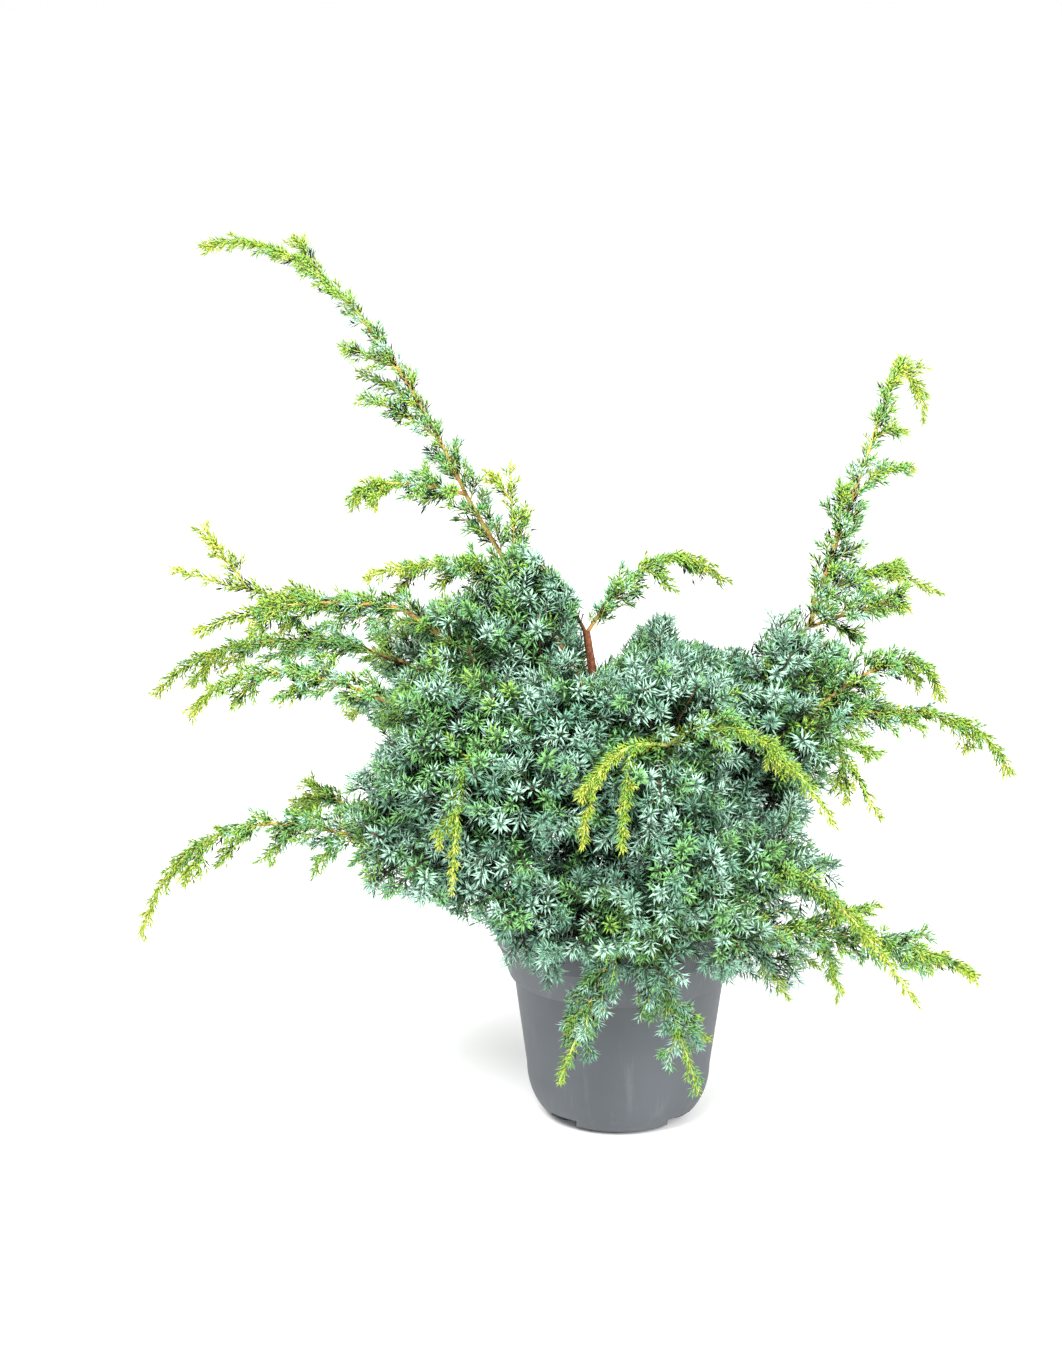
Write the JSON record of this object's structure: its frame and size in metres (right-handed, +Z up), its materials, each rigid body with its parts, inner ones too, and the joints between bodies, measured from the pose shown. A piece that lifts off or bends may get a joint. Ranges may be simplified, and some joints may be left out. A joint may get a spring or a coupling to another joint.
{
  "type": "potted blue alps chinese juniper",
  "caption": "Young spreading blue alps chinese juniper with long arching shoots, in a grey plastic nursery pot.",
  "frame": {"origin": "centre of the pot's flat underside", "axes": "+Z up along the pot's axis, -Y towards the viewer of the picture, +X to the viewer's right; the tallest shoot leans to -X"},
  "size_m": [0.5763, 0.4394, 0.5955],
  "materials": {
    "pot": "matt injection-moulded recycled plastic, finely pitted and scuffed",
    "soil": "moist peat and bark compost",
    "trunk": "dark red-brown flaking bark",
    "bough": "orange-brown young bark",
    "foliage": "silvery blue-green awl-shaped needles"
  },
  "bodies": {
    "root": {"bough_back": "bough", "bough_back_left": "bough", "bough_back_right": "bough", "bough_front": "bough", "bough_front_left": "bough", "bough_front_low": "bough", "bough_leader_foot": "bough", "bough_leader_shaft": "bough", "bough_left": "bough", "bough_left_front": "bough", "bough_low_left": "bough", "bough_low_right": "bough", "bough_right": "bough", "bough_right_arm": "bough", "bough_right_leader": "bough", "bough_upper_left": "bough", "foliage_back": "foliage", "foliage_back_left": "foliage", "foliage_back_left_low": "foliage", "foliage_back_right": "foliage", "foliage_back_right_low": "foliage", "foliage_fork_left": "foliage", "foliage_fork_right": "foliage", "foliage_front_arc": "foliage", "foliage_front_hanging": "foliage", "foliage_front_left_hanging": "foliage", "foliage_heart_01": "foliage", "foliage_heart_02": "foliage", "foliage_heart_03": "foliage", "foliage_heart_04": "foliage", "foliage_heart_05": "foliage", "foliage_heart_06": "foliage", "foliage_heart_07": "foliage", "foliage_heart_08": "foliage", "foliage_heart_09": "foliage", "foliage_heart_10": "foliage", "foliage_leader": "foliage", "foliage_leader_sprig": "foliage", "foliage_leader_spur": "foliage", "foliage_left": "foliage", "foliage_left_front": "foliage", "foliage_low_left": "foliage", "foliage_low_left_twin": "foliage", "foliage_low_right": "foliage", "foliage_low_right_side": "foliage", "foliage_low_right_skirt": "foliage", "foliage_pot_left": "foliage", "foliage_pot_right": "foliage", "foliage_right_arch": "foliage", "foliage_right_bow": "foliage", "foliage_right_drop": "foliage", "foliage_right_far": "foliage", "foliage_right_leader": "foliage", "foliage_right_reach": "foliage", "foliage_shoulder": "foliage", "foliage_upper_left": "foliage", "foliage_upper_left_low": "foliage", "pot": "pot", "soil": "soil", "trunk": "trunk"}
  },
  "joints": []
}
